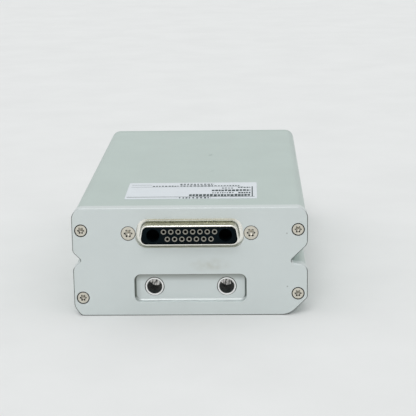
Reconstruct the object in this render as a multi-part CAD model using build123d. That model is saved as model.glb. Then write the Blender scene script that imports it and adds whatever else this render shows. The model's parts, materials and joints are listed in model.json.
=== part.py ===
from build123d import *
import math
import os

# A scanning lidar module in an extruded aluminium case. Millimetres.
# +X is to the right when facing the connector plate, +Y runs from the
# connector plate to the optical window, and +Z is up. The origin is at the
# middle of the footprint, on the underside.

# ---------------------------------------------------------------- case
BODY_LENGTH = 158.0
PLATE_WIDTH = 90.4
HEIGHT = 43.0
WALL = 2.4
CASE_INSET = 0.5
PLATE_THICK = 4.0
BEZEL_THICK = 5.0
PLATE_EDGE = 0.3
BEZEL_EDGE = 0.8

# Cross-section: a corner's place, and the radius that rounds it off.
TOP_RADIUS = 4.2
KEY_DEPTH = 7.4
KEY_TOP_Z = 28.3
KEY_TOP_RADIUS = 4.0
KEY_APEX_Z = 21.05
KEY_APEX_RADIUS = 1.0
KEY_BOTTOM_Z = 20.1
KEY_BOTTOM_RADIUS = 3.0
RAIL_DEPTH = 3.28
RAIL_Z = 22.33
RAIL_APEX_RADIUS = 0.8
RAIL_LIP_RADIUS = 2.5
RIGHT_BEVEL = 7.0
RIGHT_BEVEL_TOP_RADIUS = 2.0
RIGHT_BEVEL_FOOT_RADIUS = 7.7
LEFT_BEVEL_WIDTH = 2.7
LEFT_BEVEL_HEIGHT = 3.6
LEFT_BEVEL_TOP_RADIUS = 4.5
LEFT_BEVEL_FOOT_RADIUS = 2.4

BOARD_RIB_REACH = 40.2
BOARD_RIB_THICK = 1.1
BOARD_RIB_GAP = 0.1

# Corner screws, M2.5 countersunk: the same four places at both ends.
CORNER_SCREWS = [(-41.7, 34.2), (41.5, 34.2), (-41.7, 7.3), (41.5, 8.7)]
CORNER_BOSS_RADIUS = 2.8
M25_RADIUS = 1.25
M25_HEAD_RADIUS = 2.12
M25_SEAT_GAP = 0.42
M25_CLEARANCE = 1.4
M25_LENGTH = 13.0
M25_DRIVE = 1.35
CORNER_TAP_DEPTH = 12.0

# Seal rings between the case ends and their plates.
SEAL_INSET = 0.5
SEAL_WIDTH = 0.9
SEAL_THICK = 0.9

# ---------------------------------------------------------------- rear plate
RECESS_WIDTH = 43.4
RECESS_HEIGHT = 11.3
RECESS_Z = 11.05
RECESS_DEPTH = 2.2
RECESS_CORNER = 2.6
RECESS_FLOOR_RADIUS = 1.2

GUIDE_X = 14.0
GUIDE_Z = 11.1
GUIDE_BORE_RADIUS = 2.8
GUIDE_BORE_LENGTH = 11.0
GUIDE_MOUTH_RADIUS = 3.0
BUSH_RADIUS = 3.6
BUSH_EDGE = 0.1
BUSH_LENGTH = 14.0
BUSH_SHOULDER_RADIUS = 5.5
BUSH_HOLE_CHAMFER = 0.25
DRILL_POINT_DEG = 59.0

# ---------------------------------------------------------------- connector
CONNECTOR_Z = 33.0
CONNECTOR_PROUD = 3.6
D_SLOPE_DEG = 10.0
SHELL_WIDTH = 38.8
SHELL_HEIGHT = 7.9
SHELL_CORNER = 2.6
SHELL_THICK = 0.5
SHELL_LIP_RADIUS = 0.35
SHELL_ROOT_RADIUS = 0.6
CUTOUT_WIDTH = 43.2
CUTOUT_HEIGHT = 11.4
CUTOUT_CORNER = 4.2
FLANGE_WIDTH = 53.1
FLANGE_HEIGHT = 12.5
FLANGE_CORNER = 1.5
FLANGE_THICK = 0.8
FLANGE_DEPTH = 2.5
POCKET_MARGIN = 0.25
INSULATOR_GAP = 0.05
INSULATOR_SET_BACK = 0.15
INSULATOR_EDGE = 0.3
TUB_WIDTH = 40.0
TUB_HEIGHT = 9.6
TUB_CORNER = 1.0
TUB_END = 9.0
SKIRT_THICK = 0.6
SKIRT_END = 8.0

CONTACT_PITCH = 2.77
ROW_SPACING = 2.84
UPPER_CONTACTS = 8
LOWER_CONTACTS = 7
CONTACT_RADIUS = 1.0
CONTACT_BORE = 0.6
CONTACT_MOUTH = 0.66
CONTACT_BORE_LENGTH = 6.0
TAIL_RADIUS = 0.4
TAIL_END = 13.6

# The two large cavities have no contacts fitted.
POWER_X = 13.8
POWER_BORE_RADIUS = 2.55
POWER_BORE_END = 6.5
POWER_TAIL_RADIUS = 0.8

CONNECTOR_SCREW_X = 23.52
M3_RADIUS = 1.5
M3_HEAD_RADIUS = 2.62
M3_SEAT_GAP = 0.25
M3_CLEARANCE = 1.65
M3_LENGTH = 7.2
M3_DRIVE = 1.65
NUT_RADIUS = 3.15
NUT_THICK = 2.4

# Sunk heads sit a little below the face, in seats a little wider, and every
# drive is a six-lobed star with a coned floor.
HEAD_SET_DOWN = 0.12
SEAT_LAND = 0.6
DRIVE_DEPTH = 0.9
STAR_LOBE_CIRCLE = 0.78
STAR_LOBE = 0.22
STAR_CORE = 0.74
PAN_DRIVE = 0.6

# ---------------------------------------------------------------- label
LABEL_WIDTH = 52.0
LABEL_START = 14.3
LABEL_END = 41.9
LABEL_THICK = 0.12
LABEL_CORNER = 0.6

# ---------------------------------------------------------------- window
WINDOW_Z = 22.0
APERTURE_WIDTH = 60.0
APERTURE_HEIGHT = 26.0
APERTURE_CORNER = 4.0
REBATE_MARGIN = 2.0
WINDOW_MARGIN = 1.7
WINDOW_THICK = 2.5
WINDOW_SEAL_THICK = 0.8

# ---------------------------------------------------------------- boards
MAIN_BOARD_Z = 12.6
BOARD_THICK = 1.6
MAIN_BOARD_HALF_WIDTH = 41.9
MAIN_BOARD_START = 18.5
MAIN_BOARD_END = 79.2
POWER_BOARD_Z = 24.0
POWER_BOARD_X = (-34.0, 30.0)
POWER_BOARD_Y = (21.2, 67.2)
STANDOFF_INSET = 3.0
STANDOFF_RADIUS = 2.9
CONNECTOR_BOARD_HALF_WIDTH = 27.0
CONNECTOR_BOARD_Z = (17.2, 39.6)
CONNECTOR_BOARD_DEPTH = 11.2
PAN_HEAD_RADIUS = 2.2
PAN_HEAD_HEIGHT = 1.6
BOARD_SCREW_BITE = 4.0

HEADER_GAP = 0.3
HEADER_HALF_SPAN = 20.0
HEADER_DEPTH_END = 22.0
HEADER_BRIDGE = 3.0

PROCESSOR_HALF_WIDTH = 9.0
PROCESSOR_Y = (-47.0, -29.0)
PROCESSOR_HEIGHT = 2.0
PROCESSOR_EDGE = 0.4
SUBSTRATE_INSET = 1.0
SUBSTRATE_THICK = 0.4
MEMORY_X = (-24.0, 13.0)
MEMORY_WIDTH = 9.0
MEMORY_Y = (-46.0, -34.0)
MEMORY_HEIGHT = 1.1
CHIP_CAPACITOR_X = (-12.5, 10.5)
CHIP_CAPACITOR_START = -47.0
CHIP_CAPACITOR_STEP = 3.5
CHIP_CAPACITOR_COUNT = 5
CHIP_CAPACITOR_SIZE = (1.2, 2.0, 0.9)
INDUCTOR_X = (-20.0, -6.0)
INDUCTOR_Y = (-50.0, -40.0)
INDUCTOR_WIDTH = 10.0
INDUCTOR_HEIGHT = 4.6
INDUCTOR_CORNER = 2.0
ELECTROLYTIC_X = (-22.0, -13.0, -4.0)
ELECTROLYTIC_Y = -28.0
ELECTROLYTIC_RADIUS = 3.15
ELECTROLYTIC_HEIGHT = 7.8
ELECTROLYTIC_EDGE = 0.5

# The ribbon that crosses from the main board to the optics, and the headers.
RIBBON_WIDTH = 16.0
RIBBON_THICK = 0.3
RIBBON_BEND = 2.4
RIBBON_DROP_Y = 8.0
HEADER_HEIGHT = 2.0
HEADER_HALF_WIDTH = 9.0
MAIN_HEADER_Y = (-4.0, 0.0)
OPTICS_HEADER_Y = (16.5, 19.5)
STACK_LINK_X = (20.0, 26.0)
STACK_LINK_Y = (-34.0, -20.0)
SENSOR_HEADER_REACH = 4.0
SENSOR_HEADER_Y = (24.5, 33.5)
SENSOR_HEADER_HEIGHT = 3.0

# ---------------------------------------------------------------- optics
AXIS_Y = 38.0
CHASSIS_HALF_WIDTH = 35.5
CHASSIS_START = 14.0
CHASSIS_Z = (4.5, 7.5)
FRAME_THICK = 3.0
FRAME_TOP = 39.0
FRAME_OPENING = (58.0, 24.0)
FRAME_SCREWS = [(-33.3, 10.0), (33.3, 10.0), (-33.3, 36.0), (33.3, 36.0)]
M2_RADIUS = 1.0
M2_HEAD_RADIUS = 1.9
M2_HEAD_HEIGHT = 1.4
M2_BITE = 3.0
OPTICS_BOARD_THICK = 1.2
OPTICS_BOARD_X = (-19.0, 20.5)
OPTICS_BOARD_Y = (16.0, 57.0)
OPTICS_WING_X = -35.4
OPTICS_WING_Y = (16.0, 34.5)

SLEEVE_RADIUS = 4.0
SLEEVE_FLANGE_RADIUS = 6.0
SLEEVE_TOP = 17.0
SHAFT_RADIUS = 1.5
RUNNING_FIT = 0.02
SHAFT_Z = (5.4, 35.8)
SHAFT_NOSE_RADIUS = 0.4
THRUST_Z = (4.7, 5.1)
THRUST_RADIUS = 3.0

HUB_BOTTOM = 17.4
HUB_RADIUS = 5.0
HUB_FLANGE_RADIUS = 10.0
HUB_FLANGE_Z = (18.2, 19.2)
HUB_TOP = 35.6
CUP_RADIUS = 14.3
CUP_THICK = 0.8
CUP_BOTTOM = 10.2
MAGNET_INNER = 12.3
MAGNET_Z = (10.4, 16.8)
STATOR_RADIUS = 11.9
STATOR_Z = (11.0, 15.0)
STATOR_TEETH = 9
STATOR_YOKE = 5.6
TOOTH_WIDTH = 1.8
SHOE_THICK = 1.0
SHOE_GAP = 1.6
COIL_REACH = (6.2, 10.6)
COIL_THICK = 0.8

DISC_RADIUS = 17.2
DISC_THICK = 0.4
DISC_SLOTS = 36
DISC_SLOT_RADIUS = 16.35
DISC_SLOT_SIZE = (0.9, 1.2)
ENCODER_SENSOR_X = (15.0, 19.5)
ENCODER_SENSOR_HALF_WIDTH = 2.2
ENCODER_GAP = 0.3
ENCODER_SENSOR_EDGE = 0.4
MIRROR_SIDES = 6
MIRROR_RADIUS = 18.0
MIRROR_TOP = 36.0
CLAMP_RADIUS = 9.0
CLAMP_THICK = 0.6
CLAMP_SCREW_COUNT = 3
CLAMP_SCREW_CIRCLE = 3.3
CLAMP_SCREW_RADIUS = 0.7
CLAMP_HEAD_RADIUS = 1.35
CLAMP_HEAD_HEIGHT = 1.0
CLAMP_SCREW_BITE = 5.0

LENS_BLOCK_X = (-33.5, -21.0)
LENS_BLOCK_HALF_WIDTH = 9.5
LENS_BLOCK_TOP = 39.4
LENS_FOOT = 4.0
LENS_FOOT_THICK = 2.0
BEAM_Y = 49.0
RECEIVER_Z = 24.8
EMITTER_Z = 33.4
RECEIVER_BORE = 5.6
FILTER_BORE = 4.8
LENS_SEAT_X = -27.0
EMITTER_BORE = 2.6
COLLIMATOR_RADIUS = 2.1
RECEIVER_LENS_EDGE = 1.6
RECEIVER_LENS_BULGE = 1.6
RETAINER_WALL = 0.9
RETAINER_LENGTH = 1.8
RETAINER_START = 2.1
FILTER_INSET = 0.5
FILTER_THICK = 1.0
BARREL_INSET = 2.0
COLLIMATOR_LENS_INSET = 3.0
COLLIMATOR_LENS_EDGE = 1.0
COLLIMATOR_LENS_BULGE = 0.7
LENS_SCREW_HEAD = 1.7

SENSOR_BOARD_X = (-38.6, -37.4)
SENSOR_BOARD_Y = (24.0, 60.0)
SENSOR_BOARD_Z = (9.0, 38.0)
CAN_FLANGE_THICK = 0.8
CAN_WINDOW = 0.45
CAN_WINDOW_DEPTH = 0.4
LASER_CAN = (1.8, 2.5, 3.2)
DETECTOR_CAN = (2.1, 2.6, 3.0)

BAFFLE_Z = (30.45, 30.75)
BAFFLE_CLEARANCE = 19.0
BAFFLE_REAR_INSET = 1.5
BAFFLE_FRONT_REACH = 0.5
BAFFLE_LEFT = -30.0
BAFFLE_RIGHT = 22.0
SCAN_SENSOR_X = (24.0, 29.0)
SCAN_SENSOR_Y = (60.0, 65.0)
SCAN_SENSOR_TOP = 35.5
SCAN_SENSOR_EDGE = 0.5
SCAN_LENS_THICK = 0.4
SCAN_LENS_Y = (61.5, 63.5)
SCAN_LENS_Z = (31.5, 34.5)

# ---------------------------------------------------------------- stations
Y_REAR = CONNECTOR_PROUD - (BODY_LENGTH + CONNECTOR_PROUD) / 2
Y_FRONT = Y_REAR + BODY_LENGTH
Y_CASE_REAR = Y_REAR + PLATE_THICK
Y_CASE_FRONT = Y_FRONT - BEZEL_THICK
CHASSIS_TOP = CHASSIS_Z[1]
BOARD_TOP = MAIN_BOARD_Z + BOARD_THICK
POWER_TOP = POWER_BOARD_Z + BOARD_THICK
OPTICS_TOP = CHASSIS_TOP + OPTICS_BOARD_THICK
DISC_BOTTOM = HUB_FLANGE_Z[1]
MIRROR_BOTTOM = DISC_BOTTOM + DISC_THICK
CLAMP_TOP = MIRROR_TOP + CLAMP_THICK
BOTH_SIDES = (-1, 1)

# Sunk screws: head, gap round the head, shank, clearance hole, drive (radii).
M25 = (M25_HEAD_RADIUS, M25_SEAT_GAP, M25_RADIUS, M25_CLEARANCE, M25_DRIVE)
M3 = (M3_HEAD_RADIUS, M3_SEAT_GAP, M3_RADIUS, M3_CLEARANCE, M3_DRIVE)


# ---------------------------------------------------------------- helpers
def depth(distance):
    """The Y that lies this far in from the rear plate's outer face."""
    return Y_REAR + distance


def prism(profile, y_start, y_end):
    """A profile drawn in X and Z, drawn out along Y."""
    plane = Plane(origin=(0, y_end, 0), x_dir=(1, 0, 0), z_dir=(0, -1, 0))
    return extrude(plane * profile, amount=y_end - y_start)


def slab(profile, z_start, z_end):
    """A profile drawn in X and Y, drawn out along Z."""
    return extrude(Pos(0, 0, z_start) * profile, amount=z_end - z_start)


def block(x_range, y_range, z_range):
    """A plain block between three pairs of limits."""
    ranges = (x_range, y_range, z_range)
    centre = [(low + high) / 2 for low, high in ranges]
    size = [high - low for low, high in ranges]
    return Pos(*centre) * Box(*size)


def rod(x, z, radius, y_start, y_end):
    """A round bar along Y."""
    return prism(Pos(x, z) * Circle(radius), y_start, y_end)


def post(x, y, radius, z_start, z_end):
    """A round bar along Z."""
    return slab(Pos(x, y) * Circle(radius), z_start, z_end)


def turned_y(points, x, z):
    """(radius, y) points turned about an axis along Y."""
    section = make_face(Polyline(*points, close=True))
    return Pos(x, 0, z) * revolve(section, axis=Axis.Y)


def turned_z(points, x, y):
    """(radius, z) points turned about an axis along Z."""
    section = Plane.XZ * make_face(Polyline(*points, close=True))
    return Pos(x, y, 0) * revolve(section, axis=Axis.Z)


def ring_z(outer, inner, z_start, z_end):
    """A ring about the mirror's axis."""
    return slab(Pos(0, AXIS_Y) * (Circle(outer) - Circle(inner)), z_start, z_end)


def ring_x(outer, inner, x_start, x_end, z):
    """A ring about a lens axis, which runs along X."""
    plane = Plane(origin=(x_start, BEAM_Y, z), x_dir=(0, 1, 0), z_dir=(1, 0, 0))
    return extrude(plane * (Circle(outer) - Circle(inner)), amount=x_end - x_start)


def bar_x(radius, x_start, x_end, z):
    """A round bar on a lens axis, which runs along X."""
    plane = Plane(origin=(x_start, BEAM_Y, z), x_dir=(0, 1, 0), z_dir=(1, 0, 0))
    return extrude(plane * Circle(radius), amount=x_end - x_start)


def outline(inset):
    """The case's cross-section, with its left rail groove and right key groove."""
    side = PLATE_WIDTH / 2 - inset
    corners = [
        ((-side, HEIGHT), TOP_RADIUS),
        ((side, HEIGHT), TOP_RADIUS),
        ((side, KEY_TOP_Z), KEY_TOP_RADIUS),
        ((side - KEY_DEPTH, KEY_APEX_Z), KEY_APEX_RADIUS),
        ((side, KEY_BOTTOM_Z), KEY_BOTTOM_RADIUS),
        ((side, RIGHT_BEVEL), RIGHT_BEVEL_TOP_RADIUS),
        ((side - RIGHT_BEVEL, 0), RIGHT_BEVEL_FOOT_RADIUS),
        ((LEFT_BEVEL_WIDTH - side, 0), LEFT_BEVEL_FOOT_RADIUS),
        ((-side, LEFT_BEVEL_HEIGHT), LEFT_BEVEL_TOP_RADIUS),
        ((-side, RAIL_Z - RAIL_DEPTH), RAIL_LIP_RADIUS),
        ((RAIL_DEPTH - side, RAIL_Z), RAIL_APEX_RADIUS),
        ((-side, RAIL_Z + RAIL_DEPTH), RAIL_LIP_RADIUS),
    ]
    points = [point for point, _ in corners]
    radii = [radius for _, radius in corners]
    return make_face(FilletPolyline(*points, radius=radii, close=True))


def inner_outline(inset):
    """The case's cross-section brought in from its surface by this much."""
    return offset(outline(CASE_INSET), amount=-inset, kind=Kind.ARC)


def d_outline(width, height, corner):
    """The connector's D shape, wider along its lower side."""
    foot = width / 2
    rise = height / 2
    head = foot - height * math.tan(math.radians(D_SLOPE_DEG))
    points = [(-foot, -rise), (foot, -rise), (head, rise), (-head, rise)]
    return Pos(0, CONNECTOR_Z) * make_face(FilletPolyline(*points, radius=corner, close=True))


def rounded(width, height, corner, z):
    """A rounded rectangle in X and Z, centred on X = 0."""
    return Pos(0, z) * RectangleRounded(width, height, corner)


def star(radius):
    """The six-lobed drive of a screw head."""
    lobes = PolarLocations(radius * STAR_LOBE_CIRCLE, 6) * Circle(radius * STAR_LOBE)
    return Circle(radius * STAR_CORE) + lobes


def sunk_seat(x, z, y_face, inward, size, length):
    """The countersunk hole for a screw that enters at y_face."""
    head, gap, _, clearance, _ = size
    mouth = head + gap
    foot = SEAT_LAND + mouth - clearance
    points = [
        (0, 0),
        (mouth, 0),
        (mouth, SEAT_LAND),
        (clearance, foot),
        (clearance, length),
        (0, length),
    ]
    return turned_y([(radius, y_face + inward * y) for radius, y in points], x, z)


def sunk_screw(x, z, y_face, inward, size, length):
    """A countersunk screw, its head just below y_face."""
    head, gap, shank, _, drive = size
    rim = SEAT_LAND + gap
    points = [
        (0, HEAD_SET_DOWN),
        (head, HEAD_SET_DOWN),
        (head, rim),
        (shank, rim + head - shank),
        (shank, length),
        (0, length),
    ]
    screw = turned_y([(radius, y_face + inward * y) for radius, y in points], x, z)
    floor = HEAD_SET_DOWN + DRIVE_DEPTH
    core = drive * STAR_CORE
    cone = [(0, floor), (core, floor), (0, floor + core / 2)]
    screw -= turned_y([(radius, y_face + inward * y) for radius, y in cone], x, z)
    ends = sorted((y_face + inward * HEAD_SET_DOWN, y_face + inward * floor))
    return screw - prism(Pos(x, z) * star(drive), *ends)


def sunk_corner_screws(y_face, inward):
    """The four countersunk screws at one end of the case."""
    return [sunk_screw(x, z, y_face, inward, M25, M25_LENGTH) for x, z in CORNER_SCREWS]


def pan_screw_down(x, y, z_seat, shank, head, head_height, bite):
    """A screw whose head stands on z_seat and whose shank runs down."""
    top = z_seat + head_height
    points = [
        (0, z_seat - bite),
        (shank, z_seat - bite),
        (shank, z_seat),
        (head, z_seat),
        (head, top),
        (0, top),
    ]
    drive = slab(Pos(x, y) * star(head * PAN_DRIVE), top - head_height * PAN_DRIVE, top)
    return turned_z(points, x, y) - drive


def save(name, shape):
    """Write one named sub-part, of one solid or several."""
    solids = shape if isinstance(shape, list) else [shape]
    whole = Compound(children=[solid for item in solids for solid in item.solids()])
    whole.label = name
    export_step(whole, f"parts/{name}.step")


# ---------------------------------------------------------------- housing
def case_tube():
    skin = outline(CASE_INSET)
    bosses = Sketch() + [Pos(x, z) * Circle(CORNER_BOSS_RADIUS) for x, z in CORNER_SCREWS]
    section = (skin - inner_outline(WALL)) + (bosses & skin)
    reach = PLATE_WIDTH / 2 - CASE_INSET - WALL / 2
    rib_width = reach - BOARD_RIB_REACH
    rib_levels = (
        MAIN_BOARD_Z - BOARD_RIB_GAP - BOARD_RIB_THICK / 2,
        BOARD_TOP + BOARD_RIB_GAP + BOARD_RIB_THICK / 2,
    )
    for side in BOTH_SIDES:
        for level in rib_levels:
            centre = Pos(side * (reach - rib_width / 2), level)
            section += centre * Rectangle(rib_width, BOARD_RIB_THICK)
    tube = prism(section, Y_CASE_REAR, Y_CASE_FRONT)
    for x, z in CORNER_SCREWS:
        tube -= rod(x, z, M25_RADIUS, Y_CASE_REAR, Y_CASE_REAR + CORNER_TAP_DEPTH)
        tube -= rod(x, z, M25_RADIUS, Y_CASE_FRONT - CORNER_TAP_DEPTH, Y_CASE_FRONT)
    return tube


def seal_profile():
    """The ring that seals one end of the case."""
    return inner_outline(SEAL_INSET) - inner_outline(SEAL_INSET + SEAL_WIDTH)


def rear_plate():
    plate = prism(outline(0), Y_REAR, Y_CASE_REAR)
    plate = chamfer(plate.faces().sort_by(Axis.Y)[0].edges(), PLATE_EDGE)
    pocket_width = FLANGE_WIDTH + 2 * POCKET_MARGIN
    pocket_height = FLANGE_HEIGHT + 2 * POCKET_MARGIN
    pocket = rounded(pocket_width, pocket_height, FLANGE_CORNER, CONNECTOR_Z)
    plate -= prism(pocket, depth(FLANGE_DEPTH), Y_CASE_REAR)
    plate -= prism(d_outline(CUTOUT_WIDTH, CUTOUT_HEIGHT, CUTOUT_CORNER), Y_REAR, Y_CASE_REAR)
    plate -= recess_cutter()
    for side in BOTH_SIDES:
        plate -= bush_hole(side)
        plate -= sunk_seat(side * CONNECTOR_SCREW_X, CONNECTOR_Z, Y_REAR, 1, M3, PLATE_THICK)
    for x, z in CORNER_SCREWS:
        plate -= sunk_seat(x, z, Y_REAR, 1, M25, PLATE_THICK)
    return plate - prism(seal_profile(), Y_CASE_REAR - SEAL_THICK, Y_CASE_REAR)


def bush_hole(side):
    """A guide bush's hole in the recess floor, with a chamfered mouth."""
    floor = depth(RECESS_DEPTH)
    points = [
        (0, floor),
        (BUSH_RADIUS + BUSH_HOLE_CHAMFER, floor),
        (BUSH_RADIUS, floor + BUSH_HOLE_CHAMFER),
        (BUSH_RADIUS, Y_CASE_REAR),
        (0, Y_CASE_REAR),
    ]
    return turned_y(points, side * GUIDE_X, GUIDE_Z)


def recess_cutter():
    """The milled recess around the guide bushes, with a rounded floor edge."""
    cutter = prism(
        rounded(RECESS_WIDTH, RECESS_HEIGHT, RECESS_CORNER, RECESS_Z),
        Y_REAR - RECESS_DEPTH,
        depth(RECESS_DEPTH),
    )
    return fillet(cutter.faces().sort_by(Axis.Y)[-1].edges(), RECESS_FLOOR_RADIUS)


def guide_bush(side):
    """A blind bush pressed in from behind, as far as its shoulder."""
    start = depth(RECESS_DEPTH)
    bore_end = start + GUIDE_BORE_LENGTH
    drill_tip = bore_end + GUIDE_BORE_RADIUS / math.tan(math.radians(DRILL_POINT_DEG))
    points = [
        (GUIDE_MOUTH_RADIUS, start),
        (BUSH_RADIUS - BUSH_EDGE, start),
        (BUSH_RADIUS, start + BUSH_EDGE),
        (BUSH_RADIUS, Y_CASE_REAR),
        (BUSH_SHOULDER_RADIUS, Y_CASE_REAR),
        (BUSH_SHOULDER_RADIUS, start + BUSH_LENGTH),
        (0, start + BUSH_LENGTH),
        (0, drill_tip),
        (GUIDE_BORE_RADIUS, bore_end),
        (GUIDE_BORE_RADIUS, start + GUIDE_MOUTH_RADIUS - GUIDE_BORE_RADIUS),
    ]
    return turned_y(points, side * GUIDE_X, GUIDE_Z)


def type_label():
    y_middle = depth((LABEL_START + LABEL_END) / 2)
    sheet = Pos(0, y_middle) * RectangleRounded(LABEL_WIDTH, LABEL_END - LABEL_START, LABEL_CORNER)
    return slab(sheet, HEIGHT, HEIGHT + LABEL_THICK)


# ---------------------------------------------------------------- connector
def contact_places():
    """X and Z of every signal contact: a short upper row and a lower row between."""
    places = []
    for count, row in ((UPPER_CONTACTS, 1), (LOWER_CONTACTS, -1)):
        z = CONNECTOR_Z + row * ROW_SPACING / 2
        places += [((index - (count - 1) / 2) * CONTACT_PITCH, z) for index in range(count)]
    return places


def connector_shell():
    skin = d_outline(SHELL_WIDTH, SHELL_HEIGHT, SHELL_CORNER)
    front = depth(-CONNECTOR_PROUD)
    root = depth(FLANGE_DEPTH)
    shroud = prism(skin, front, root)
    shroud = fillet(shroud.faces().sort_by(Axis.Y)[0].edges(), SHELL_LIP_RADIUS)
    shell = shroud + flange(FLANGE_DEPTH)
    face = shell.faces().filter_by(Axis.Y).sort_by(SortBy.AREA)[-2:].sort_by(Axis.Y)[0]
    shell = fillet(face.inner_wires().sort_by(SortBy.LENGTH)[-1].edges(), SHELL_ROOT_RADIUS)
    bore = offset(skin, amount=-SHELL_THICK, kind=Kind.ARC)
    return shell - prism(bore, front, root + FLANGE_THICK)


def flange(start):
    """One of the two flanges, with its screw holes."""
    sheet = rounded(FLANGE_WIDTH, FLANGE_HEIGHT, FLANGE_CORNER, CONNECTOR_Z)
    for side in BOTH_SIDES:
        sheet -= Pos(side * CONNECTOR_SCREW_X, CONNECTOR_Z) * Circle(M3_CLEARANCE)
    return prism(sheet, depth(start), depth(start + FLANGE_THICK))


def tub(margin):
    """The cross-section of the insulator's rear half, grown by this margin."""
    width = TUB_WIDTH + 2 * margin
    return rounded(width, TUB_HEIGHT + 2 * margin, TUB_CORNER, CONNECTOR_Z)


def connector_rear_shell():
    start = FLANGE_DEPTH + FLANGE_THICK
    shell = flange(start) + prism(tub(SKIRT_THICK), depth(start), depth(SKIRT_END))
    return shell - prism(tub(0), depth(start), depth(SKIRT_END))


def connector_insulator():
    skin = d_outline(SHELL_WIDTH, SHELL_HEIGHT, SHELL_CORNER)
    nose = offset(skin, amount=-(SHELL_THICK + INSULATOR_GAP), kind=Kind.ARC)
    front = depth(INSULATOR_SET_BACK - CONNECTOR_PROUD)
    middle = depth(FLANGE_DEPTH + FLANGE_THICK)
    body = prism(nose, front, middle)
    body = chamfer(body.faces().sort_by(Axis.Y)[0].edges(), INSULATOR_EDGE)
    body += prism(tub(0), middle, depth(TUB_END))
    for x, z in contact_places():
        body -= rod(x, z, CONTACT_RADIUS, front, depth(TUB_END))
    for side in BOTH_SIDES:
        x = side * POWER_X
        body -= rod(x, CONNECTOR_Z, POWER_BORE_RADIUS, front, depth(POWER_BORE_END))
        body -= rod(x, CONNECTOR_Z, POWER_TAIL_RADIUS, depth(POWER_BORE_END), depth(TUB_END))
    return body


def signal_contacts():
    start = depth(INSULATOR_SET_BACK - CONNECTOR_PROUD)
    bore_end = start + CONTACT_BORE_LENGTH
    points = [
        (CONTACT_MOUTH, start),
        (CONTACT_RADIUS, start),
        (CONTACT_RADIUS, depth(TUB_END)),
        (TAIL_RADIUS, depth(TUB_END)),
        (TAIL_RADIUS, depth(TAIL_END)),
        (0, depth(TAIL_END)),
        (0, bore_end),
        (CONTACT_BORE, bore_end),
        (CONTACT_BORE, start + CONTACT_MOUTH - CONTACT_BORE),
    ]
    return [turned_y(points, x, z) for x, z in contact_places()]


def connector_screws():
    return [
        sunk_screw(side * CONNECTOR_SCREW_X, CONNECTOR_Z, Y_REAR, 1, M3, M3_LENGTH)
        for side in BOTH_SIDES
    ]


def connector_nuts():
    start = FLANGE_DEPTH + 2 * FLANGE_THICK
    nut = RegularPolygon(NUT_RADIUS, 6, rotation=30) - Circle(M3_RADIUS)
    return [
        prism(Pos(side * CONNECTOR_SCREW_X, CONNECTOR_Z) * nut, depth(start), depth(start + NUT_THICK))
        for side in BOTH_SIDES
    ]


def connector_board():
    half = CONNECTOR_BOARD_HALF_WIDTH
    start = CONNECTOR_BOARD_DEPTH
    board = block((-half, half), (depth(start), depth(start + BOARD_THICK)), CONNECTOR_BOARD_Z)
    for x, z in contact_places():
        board -= rod(x, z, TAIL_RADIUS, depth(start), depth(start + BOARD_THICK))
    return board


# ---------------------------------------------------------------- front end
def front_bezel():
    bezel = prism(outline(CASE_INSET), Y_CASE_FRONT, Y_FRONT)
    bezel = chamfer(bezel.faces().sort_by(Axis.Y)[-1].edges(), BEZEL_EDGE)
    rebate_end = Y_CASE_FRONT + WINDOW_THICK + WINDOW_SEAL_THICK
    bezel -= prism(window_outline(0), Y_CASE_FRONT, Y_FRONT)
    bezel -= prism(window_outline(REBATE_MARGIN), Y_CASE_FRONT, rebate_end)
    bezel -= prism(seal_profile(), Y_CASE_FRONT, Y_CASE_FRONT + SEAL_THICK)
    for x, z in CORNER_SCREWS:
        bezel -= sunk_seat(x, z, Y_FRONT, -1, M25, BEZEL_THICK)
    for x, z in FRAME_SCREWS:
        bezel -= rod(x, z, M2_RADIUS, Y_CASE_FRONT, Y_CASE_FRONT + M2_BITE)
    return bezel


def window_outline(margin):
    """The aperture's outline grown by this margin."""
    width = APERTURE_WIDTH + 2 * margin
    return rounded(width, APERTURE_HEIGHT + 2 * margin, APERTURE_CORNER + margin, WINDOW_Z)


def window():
    return prism(window_outline(WINDOW_MARGIN), Y_CASE_FRONT, Y_CASE_FRONT + WINDOW_THICK)


def window_seal():
    ring = window_outline(WINDOW_MARGIN) - window_outline(0)
    start = Y_CASE_FRONT + WINDOW_THICK
    return prism(ring, start, start + WINDOW_SEAL_THICK)


def optical_chassis():
    half = CHASSIS_HALF_WIDTH
    base = block((-half, half), (CHASSIS_START, Y_CASE_FRONT), CHASSIS_Z)
    base -= post(0, AXIS_Y, SLEEVE_RADIUS, *CHASSIS_Z)
    frame_start = Y_CASE_FRONT - FRAME_THICK
    frame = block((-half, half), (frame_start, Y_CASE_FRONT), (CHASSIS_Z[0], FRAME_TOP))
    frame -= prism(rounded(*FRAME_OPENING, APERTURE_CORNER, WINDOW_Z), frame_start, Y_CASE_FRONT)
    for x, z in FRAME_SCREWS:
        frame -= rod(x, z, M2_RADIUS, frame_start, Y_CASE_FRONT)
    chassis = base + frame
    for x, y in lens_foot_screws():
        chassis -= post(x, y, M2_RADIUS, CHASSIS_TOP - CHASSIS_Z[0] / 2, CHASSIS_TOP)
    return chassis


def chassis_screws():
    """Four screws that pull the chassis frame against the window and bezel."""
    seat = Y_CASE_FRONT - FRAME_THICK
    head = seat - M2_HEAD_HEIGHT
    end = Y_CASE_FRONT + M2_BITE
    points = [
        (0, head),
        (M2_HEAD_RADIUS, head),
        (M2_HEAD_RADIUS, seat),
        (M2_RADIUS, seat),
        (M2_RADIUS, end),
        (0, end),
    ]
    drive = star(M2_HEAD_RADIUS * PAN_DRIVE)
    drive_end = head + M2_HEAD_HEIGHT * PAN_DRIVE
    return [
        turned_y(points, x, z) - prism(Pos(x, z) * drive, head, drive_end)
        for x, z in FRAME_SCREWS
    ]


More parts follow.
